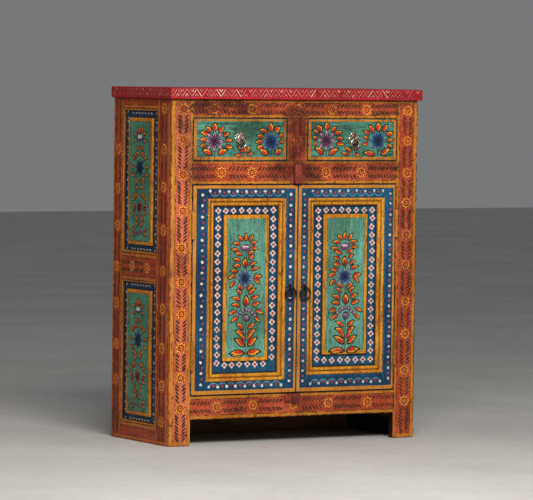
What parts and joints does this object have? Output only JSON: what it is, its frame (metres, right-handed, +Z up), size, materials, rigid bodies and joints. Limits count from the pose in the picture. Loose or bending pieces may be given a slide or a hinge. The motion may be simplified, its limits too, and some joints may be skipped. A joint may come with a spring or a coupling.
{
  "type": "painted cabinet with two drawers and two doors",
  "caption": "Small floor-standing painted cabinet: inset drawers over inset panelled doors, butt hinges, ring pulls and wooden turn buttons.",
  "frame": {"origin": "centre of the bounding box on the floor plane", "axes": "+Z up, the front with doors and drawers faces -Y, +X to the right seen from the front"},
  "size_m": [0.736, 0.3335, 0.9],
  "materials": {
    "red_paint": "aged oil paint on wood, satin",
    "coral_paint": "aged oil paint on wood, satin",
    "turquoise_paint": "aged oil paint on wood, satin",
    "blue_paint": "aged oil paint on wood, satin",
    "ochre_paint": "aged oil paint on wood, satin",
    "bare_wood": "bare aged softwood",
    "button_wood": "stained wood, satin",
    "hinge_steel_painted": "painted over",
    "steel": "aged steel",
    "black_iron": "forged, blackened",
    "bronze": "tarnished"
  },
  "bodies": {
    "cabinet": {"top_board": "red_paint", "front_stile_left": "coral_paint", "front_stile_right": "coral_paint", "front_stile_centre": "coral_paint", "front_rail_top": "coral_paint", "front_rail_middle": "coral_paint", "front_rail_bottom": "coral_paint", "side_left_stile_front": "coral_paint", "side_left_stile_back": "coral_paint", "side_left_rails": "coral_paint", "side_left_panels": "turquoise_paint", "side_right_stile_front": "coral_paint", "side_right_stile_back": "coral_paint", "side_right_rails": "coral_paint", "side_right_panels": "turquoise_paint", "side_mouldings": "ochre_paint", "back_stiles": "bare_wood", "back_rails": "bare_wood", "back_panels": "bare_wood", "floor_board": "bare_wood", "shelf_board": "bare_wood", "dust_board": "bare_wood", "shelf_bearers": "bare_wood", "drawer_guides_and_kickers": "bare_wood", "hinge_frame_leaves": "hinge_steel_painted", "hinge_pins": "steel", "hinge_frame_screws": "steel", "turn_button_nails": "steel"},
    "door_left": {"door_left_stile_outer": "blue_paint", "door_left_stile_meeting": "blue_paint", "door_left_rails": "blue_paint", "door_left_panel": "turquoise_paint", "door_left_moulding": "ochre_paint", "door_left_hinge_leaves": "hinge_steel_painted", "door_left_hinge_screws": "steel", "door_left_pull_staple": "black_iron"},
    "door_right": {"door_right_stile_outer": "blue_paint", "door_right_stile_meeting": "blue_paint", "door_right_rails": "blue_paint", "door_right_panel": "turquoise_paint", "door_right_moulding": "ochre_paint", "door_right_hinge_leaves": "hinge_steel_painted", "door_right_hinge_screws": "steel", "door_right_pull_staple": "black_iron"},
    "drawer_left": {"drawer_left_front": "turquoise_paint", "drawer_left_sides": "bare_wood", "drawer_left_back": "bare_wood", "drawer_left_bottom": "bare_wood", "drawer_left_pull_plate": "bronze"},
    "drawer_right": {"drawer_right_front": "turquoise_paint", "drawer_right_sides": "bare_wood", "drawer_right_back": "bare_wood", "drawer_right_bottom": "bare_wood", "drawer_right_pull_plate": "bronze"},
    "ring_door_left": {"door_left_ring": "black_iron"},
    "ring_door_right": {"door_right_ring": "black_iron"},
    "ring_drawer_left": {"drawer_left_ring": "bronze"},
    "ring_drawer_right": {"drawer_right_ring": "bronze"},
    "button_top": {"turn_button_top": "button_wood"},
    "button_bottom": {"turn_button_bottom": "button_wood"}
  },
  "joints": [
    {"name": "door_left_hinge", "type": "hinge", "parent": "cabinet", "child": "door_left", "pos_m": [-0.2964, -0.155, 0.391], "axis": [0, 0, -1], "range_deg": [0, 160]},
    {"name": "door_right_hinge", "type": "hinge", "parent": "cabinet", "child": "door_right", "pos_m": [0.2964, -0.155, 0.391], "axis": [0, 0, 1], "range_deg": [0, 160]},
    {"name": "drawer_left_slide", "type": "slide", "parent": "cabinet", "child": "drawer_left", "axis": [0, -1, 0], "range_m": [0, 0.22]},
    {"name": "drawer_right_slide", "type": "slide", "parent": "cabinet", "child": "drawer_right", "axis": [0, -1, 0], "range_m": [0, 0.22]},
    {"name": "ring_door_left_swing", "type": "hinge", "parent": "door_left", "child": "ring_door_left", "pos_m": [-0.0155, -0.1585, 0.3945], "axis": [-1, 0, 0], "range_deg": [-8, 120]},
    {"name": "ring_door_right_swing", "type": "hinge", "parent": "door_right", "child": "ring_door_right", "pos_m": [0.0265, -0.1585, 0.3945], "axis": [-1, 0, 0], "range_deg": [-8, 120]},
    {"name": "ring_drawer_left_swing", "type": "hinge", "parent": "drawer_left", "child": "ring_drawer_left", "pos_m": [-0.162, -0.158, 0.772], "axis": [-1, 0, 0], "range_deg": [-8, 120]},
    {"name": "ring_drawer_right_swing", "type": "hinge", "parent": "drawer_right", "child": "ring_drawer_right", "pos_m": [0.169, -0.158, 0.772], "axis": [-1, 0, 0], "range_deg": [-8, 120]},
    {"name": "button_top_turn", "type": "hinge", "parent": "cabinet", "child": "button_top", "pos_m": [0.002, -0.158, 0.675], "axis": [0, 1, 0], "range_deg": [0, 180]},
    {"name": "button_bottom_turn", "type": "hinge", "parent": "cabinet", "child": "button_bottom", "pos_m": [0.004, -0.158, 0.114], "axis": [0, 1, 0], "range_deg": [0, 90]}
  ]
}
